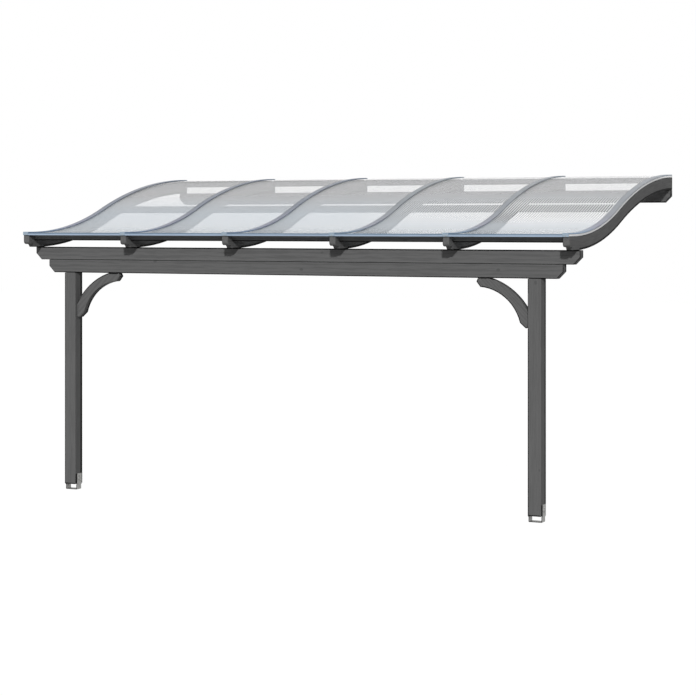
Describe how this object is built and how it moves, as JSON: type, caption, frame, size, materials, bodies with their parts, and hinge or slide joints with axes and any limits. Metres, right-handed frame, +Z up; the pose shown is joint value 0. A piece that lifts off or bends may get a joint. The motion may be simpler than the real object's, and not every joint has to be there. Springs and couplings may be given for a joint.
{
  "type": "patio cover",
  "caption": "Lean-to patio cover: posts on steel feet and braced front beams carry S-curved timber rafters under clear twin-wall roof panels with metal cover strips.",
  "frame": {"origin": "centre of the wall purlin's rear face, which bears on the wall", "axes": "+X along the wall to the right seen from the front, +Y into the wall, +Z up"},
  "size_m": [5.438, 2.9028, 2.9655],
  "materials": {
    "stained_wood": "grey stained planed softwood",
    "batten_wood": "grey stained planed softwood",
    "clear_panel": "clear twin-wall polycarbonate",
    "aluminium_trim": "satin anodised",
    "galvanised_steel": "dull galvanised"
  },
  "bodies": {
    "root": {"post_left": "stained_wood", "post_bracket_left": "galvanised_steel", "brace_left": "stained_wood", "post_right": "stained_wood", "post_bracket_right": "galvanised_steel", "brace_right": "stained_wood", "lower_beam": "stained_wood", "upper_beam": "stained_wood", "wall_purlin": "stained_wood", "rafter_1": "stained_wood", "rafter_2": "stained_wood", "rafter_3": "stained_wood", "rafter_4": "stained_wood", "rafter_5": "stained_wood", "rafter_6": "stained_wood", "cover_strip_1": "aluminium_trim", "cover_strip_2": "aluminium_trim", "cover_strip_3": "aluminium_trim", "cover_strip_4": "aluminium_trim", "cover_strip_5": "aluminium_trim", "cover_strip_6": "aluminium_trim", "front_batten_1": "batten_wood", "middle_batten_1": "batten_wood", "rear_batten_1": "batten_wood", "roof_panel_1": "clear_panel", "front_edge_profile_1": "aluminium_trim", "front_batten_2": "batten_wood", "middle_batten_2": "batten_wood", "rear_batten_2": "batten_wood", "roof_panel_2": "clear_panel", "front_edge_profile_2": "aluminium_trim", "front_batten_3": "batten_wood", "middle_batten_3": "batten_wood", "rear_batten_3": "batten_wood", "roof_panel_3": "clear_panel", "front_edge_profile_3": "aluminium_trim", "front_batten_4": "batten_wood", "middle_batten_4": "batten_wood", "rear_batten_4": "batten_wood", "roof_panel_4": "clear_panel", "front_edge_profile_4": "aluminium_trim", "front_batten_5": "batten_wood", "middle_batten_5": "batten_wood", "rear_batten_5": "batten_wood", "roof_panel_5": "clear_panel", "front_edge_profile_5": "aluminium_trim"}
  },
  "joints": []
}
